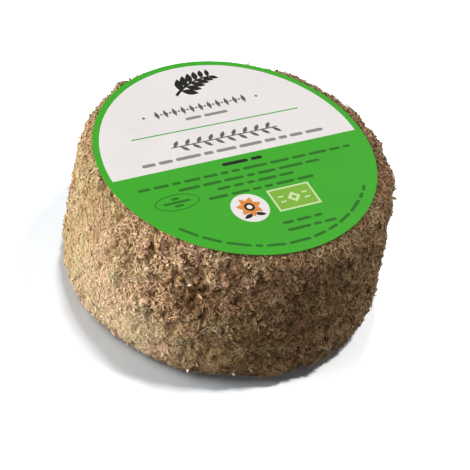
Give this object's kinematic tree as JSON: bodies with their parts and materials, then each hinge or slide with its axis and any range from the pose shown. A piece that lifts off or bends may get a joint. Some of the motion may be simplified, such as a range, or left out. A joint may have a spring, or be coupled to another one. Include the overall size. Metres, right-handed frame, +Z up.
{
  "type": "herbed goat cheese wheel",
  "caption": "Small round wheel of soft goat cheese with a coat of dried herbs on its top, side and base, and a flat round paper label on top.",
  "frame": {"origin": "middle of the flat base that the wheel rests on", "axes": "+Z up along the wheel's axis, +X along the label's lines as they are read, +Y to the label's upper edge"},
  "size_m": [0.0967, 0.0958, 0.0465],
  "materials": {
    "herb_crust": "matted coat of dried herb leaves and stalks, fully matt",
    "printed_paper": "coated paper printed green and off-white, satin"
  },
  "bodies": {
    "root": {"herbed_cheese": "herb_crust", "label": "printed_paper"}
  },
  "joints": []
}
